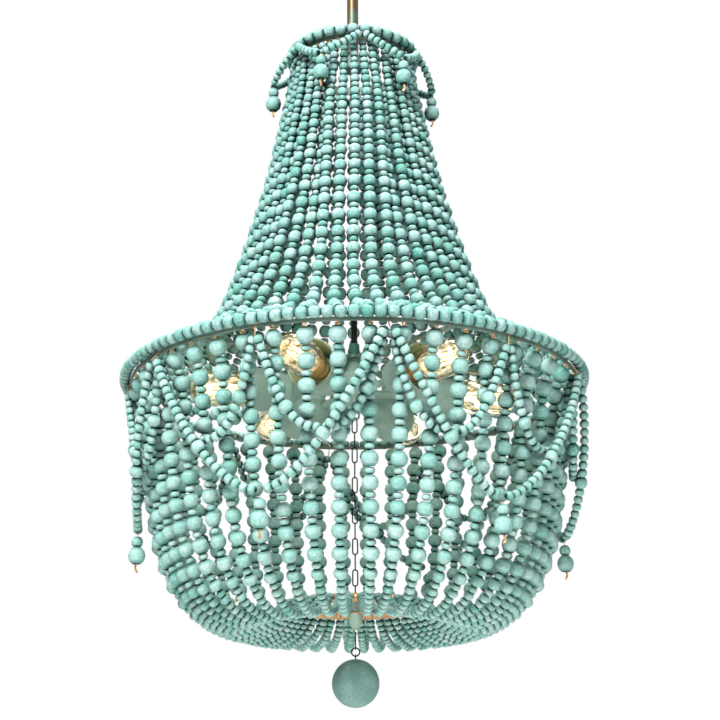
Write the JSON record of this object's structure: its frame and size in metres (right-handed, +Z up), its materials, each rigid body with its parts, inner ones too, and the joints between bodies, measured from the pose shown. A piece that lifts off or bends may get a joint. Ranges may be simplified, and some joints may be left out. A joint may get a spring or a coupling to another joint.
{
  "type": "beaded chandelier",
  "caption": "Beaded basket chandelier: painted bead strings flare from a small top ring to a wide rim and hang in a deep basket, with bead swags, pendants, radial lamps and a drop ball.",
  "frame": {"origin": "middle of the mounting bar's top face, on the ceiling", "axes": "+Z up along the stem, towards the ceiling; -Y towards the viewer of the picture"},
  "size_m": [0.6074, 0.6136, 1.1372],
  "materials": {
    "steel": "zinc plated",
    "stem_metal": "aged, satin",
    "painted_metal": "satin grey-green paint, worn",
    "black_metal": "satin black",
    "upper_beads": "chalky turquoise paint, worn",
    "lower_beads": "chalky pale blue-green paint, worn",
    "bulb_glass": "clear"
  },
  "bodies": {
    "ceiling": {"mounting_bar": "steel", "canopy_loop": "stem_metal"},
    "canopy": {"canopy": "stem_metal", "canopy_collar": "stem_metal"},
    "link": {"hanging_link": "stem_metal"},
    "fixture": {"stem_loop": "stem_metal", "stem": "stem_metal", "top_frame": "painted_metal", "inner_rod": "black_metal", "rod_coupling": "painted_metal", "rim_frame": "painted_metal", "top_bead_row": "upper_beads", "rim_bead_row": "upper_beads", "upper_strings_1": "upper_beads", "upper_strings_2": "upper_beads", "upper_strings_3": "upper_beads", "upper_strings_4": "upper_beads", "upper_strings_5": "upper_beads", "upper_strings_6": "upper_beads", "top_swags": "upper_beads", "basket_strings_1": "lower_beads", "basket_strings_2": "lower_beads", "basket_strings_3": "lower_beads", "basket_strings_4": "lower_beads", "basket_strings_5": "lower_beads", "basket_strings_6": "lower_beads", "short_swags": "lower_beads", "long_swags": "lower_beads", "lamp_hub": "painted_metal", "lamp_cup_1": "painted_metal", "lamp_cup_2": "painted_metal", "lamp_cup_3": "painted_metal", "lamp_cup_4": "painted_metal", "lamp_cup_5": "painted_metal", "lamp_cup_6": "painted_metal", "chain": "black_metal", "bottom_ring": "painted_metal", "bottom_cap": "painted_metal"},
    "top_pendant_1": {"top_pendant_1": "upper_beads"},
    "rim_pendant_1": {"rim_pendant_1": "lower_beads"},
    "bulb_1": {"bulb_1": "bulb_glass"},
    "top_pendant_2": {"top_pendant_2": "upper_beads"},
    "rim_pendant_2": {"rim_pendant_2": "lower_beads"},
    "bulb_2": {"bulb_2": "bulb_glass"},
    "top_pendant_3": {"top_pendant_3": "upper_beads"},
    "rim_pendant_3": {"rim_pendant_3": "lower_beads"},
    "bulb_3": {"bulb_3": "bulb_glass"},
    "top_pendant_4": {"top_pendant_4": "upper_beads"},
    "rim_pendant_4": {"rim_pendant_4": "lower_beads"},
    "bulb_4": {"bulb_4": "bulb_glass"},
    "top_pendant_5": {"top_pendant_5": "upper_beads"},
    "rim_pendant_5": {"rim_pendant_5": "lower_beads"},
    "bulb_5": {"bulb_5": "bulb_glass"},
    "top_pendant_6": {"top_pendant_6": "upper_beads"},
    "rim_pendant_6": {"rim_pendant_6": "lower_beads"},
    "bulb_6": {"bulb_6": "bulb_glass"},
    "hook": {"drop_hook": "black_metal"},
    "ball": {"split_ring": "black_metal", "drop_ball": "upper_beads"}
  },
  "joints": [
    {"name": "canopy_slide", "type": "slide", "parent": "ceiling", "child": "canopy", "axis": [0, 0, -1], "range_m": [0, 0.024]},
    {"name": "link_swing", "type": "hinge", "parent": "ceiling", "child": "link", "pos_m": [0, 0, -0.05475], "axis": [1, 0, 0], "range_deg": [-15, 15]},
    {"name": "fixture_swing", "type": "hinge", "parent": "link", "child": "fixture", "pos_m": [0, 0, -0.08345], "axis": [0, 1, 0], "range_deg": [-15, 15]},
    {"name": "top_pendant_1_swing", "type": "hinge", "parent": "fixture", "child": "top_pendant_1", "pos_m": [-0.04259, -0.10283, -0.294], "axis": [-0.9239, 0.3827, 0], "range_deg": [-3, 60]},
    {"name": "top_pendant_2_swing", "type": "hinge", "parent": "fixture", "child": "top_pendant_2", "pos_m": [0.06776, -0.0883, -0.294], "axis": [-0.7934, -0.6088, 0], "range_deg": [-3, 60]},
    {"name": "top_pendant_3_swing", "type": "hinge", "parent": "fixture", "child": "top_pendant_3", "pos_m": [0.11035, 0.01453, -0.294], "axis": [0.1305, -0.9914, 0], "range_deg": [-3, 60]},
    {"name": "top_pendant_4_swing", "type": "hinge", "parent": "fixture", "child": "top_pendant_4", "pos_m": [0.04259, 0.10283, -0.294], "axis": [0.9239, -0.3827, 0], "range_deg": [-3, 60]},
    {"name": "top_pendant_5_swing", "type": "hinge", "parent": "fixture", "child": "top_pendant_5", "pos_m": [-0.06776, 0.0883, -0.294], "axis": [0.7934, 0.6088, 0], "range_deg": [-3, 60]},
    {"name": "top_pendant_6_swing", "type": "hinge", "parent": "fixture", "child": "top_pendant_6", "pos_m": [-0.11035, -0.01453, -0.294], "axis": [-0.1305, 0.9914, 0], "range_deg": [-3, 60]},
    {"name": "rim_pendant_1_swing", "type": "hinge", "parent": "fixture", "child": "rim_pendant_1", "pos_m": [-0.10409, -0.2513, -0.926], "axis": [-0.9239, 0.3827, 0], "range_deg": [-12, 40]},
    {"name": "rim_pendant_2_swing", "type": "hinge", "parent": "fixture", "child": "rim_pendant_2", "pos_m": [0.16558, -0.21579, -0.926], "axis": [-0.7934, -0.6088, 0], "range_deg": [-12, 40]},
    {"name": "rim_pendant_3_swing", "type": "hinge", "parent": "fixture", "child": "rim_pendant_3", "pos_m": [0.26967, 0.0355, -0.926], "axis": [0.1305, -0.9914, 0], "range_deg": [-12, 40]},
    {"name": "rim_pendant_4_swing", "type": "hinge", "parent": "fixture", "child": "rim_pendant_4", "pos_m": [0.10409, 0.2513, -0.926], "axis": [0.9239, -0.3827, 0], "range_deg": [-12, 40]},
    {"name": "rim_pendant_5_swing", "type": "hinge", "parent": "fixture", "child": "rim_pendant_5", "pos_m": [-0.16558, 0.21579, -0.926], "axis": [0.7934, 0.6088, 0], "range_deg": [-12, 40]},
    {"name": "rim_pendant_6_swing", "type": "hinge", "parent": "fixture", "child": "rim_pendant_6", "pos_m": [-0.26967, -0.0355, -0.926], "axis": [-0.1305, 0.9914, 0], "range_deg": [-12, 40]},
    {"name": "bulb_1_turn", "type": "hinge", "parent": "fixture", "child": "bulb_1", "pos_m": [0, 0, -0.737], "axis": [-0.3827, -0.9239, 0], "continuous": true},
    {"name": "bulb_2_turn", "type": "hinge", "parent": "fixture", "child": "bulb_2", "pos_m": [0, 0, -0.737], "axis": [0.6088, -0.7934, 0], "continuous": true},
    {"name": "bulb_3_turn", "type": "hinge", "parent": "fixture", "child": "bulb_3", "pos_m": [0, 0, -0.737], "axis": [0.9914, 0.1305, 0], "continuous": true},
    {"name": "bulb_4_turn", "type": "hinge", "parent": "fixture", "child": "bulb_4", "pos_m": [0, 0, -0.737], "axis": [0.3827, 0.9239, 0], "continuous": true},
    {"name": "bulb_5_turn", "type": "hinge", "parent": "fixture", "child": "bulb_5", "pos_m": [0, 0, -0.737], "axis": [-0.6088, 0.7934, 0], "continuous": true},
    {"name": "bulb_6_turn", "type": "hinge", "parent": "fixture", "child": "bulb_6", "pos_m": [0, 0, -0.737], "axis": [-0.9914, -0.1305, 0], "continuous": true},
    {"name": "hook_swing", "type": "hinge", "parent": "fixture", "child": "hook", "pos_m": [0, 0, -1.0479], "axis": [1, 0, 0], "range_deg": [-30, 30]},
    {"name": "ball_swing", "type": "hinge", "parent": "hook", "child": "ball", "pos_m": [0, 0, -1.067], "axis": [0, 1, 0], "range_deg": [-30, 30]}
  ]
}
